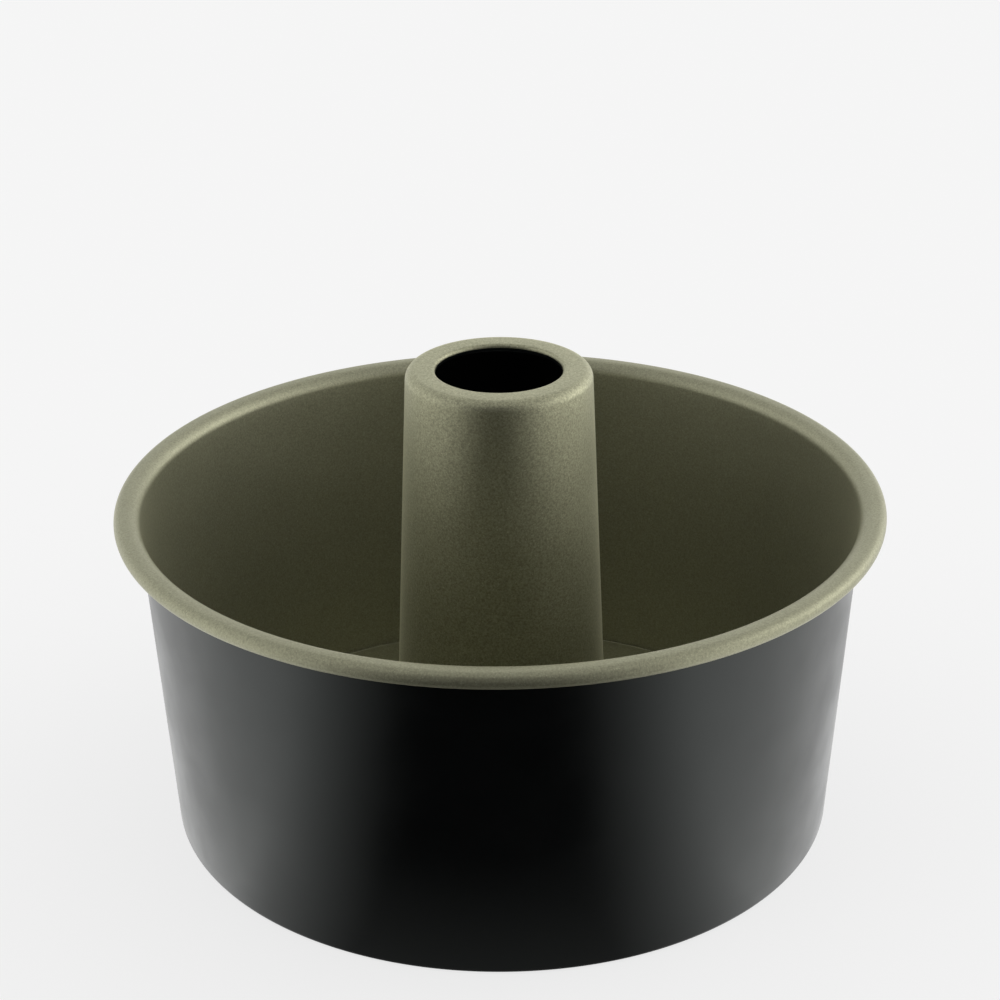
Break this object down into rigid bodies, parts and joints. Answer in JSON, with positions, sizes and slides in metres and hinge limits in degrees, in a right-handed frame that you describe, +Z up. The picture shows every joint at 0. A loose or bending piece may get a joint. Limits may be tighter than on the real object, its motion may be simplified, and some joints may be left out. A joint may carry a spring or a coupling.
{
  "type": "angel food cake pan",
  "caption": "Round tube cake pan with a tapered wall, a curled rim and a lift-out floor plate that carries a tall centre tube.",
  "frame": {"origin": "centre of the pan's foot, on the surface that it stands on", "axes": "+Z up along the centre tube; the pan is round, so +X and +Y are any two directions at right angles across it"},
  "size_m": [0.25, 0.25, 0.1544],
  "materials": {
    "outer_coating": "glossy near-black non-stick coating",
    "food_coating": "semi-gloss champagne non-stick coating"
  },
  "bodies": {
    "ring": {"pan_ring": "outer_coating"},
    "insert": {"base_plate": "food_coating", "centre_tube": "food_coating"}
  },
  "joints": [
    {"name": "insert_lift", "type": "slide", "parent": "ring", "child": "insert", "axis": [0, 0, 1], "range_m": [0, 0.12]}
  ]
}
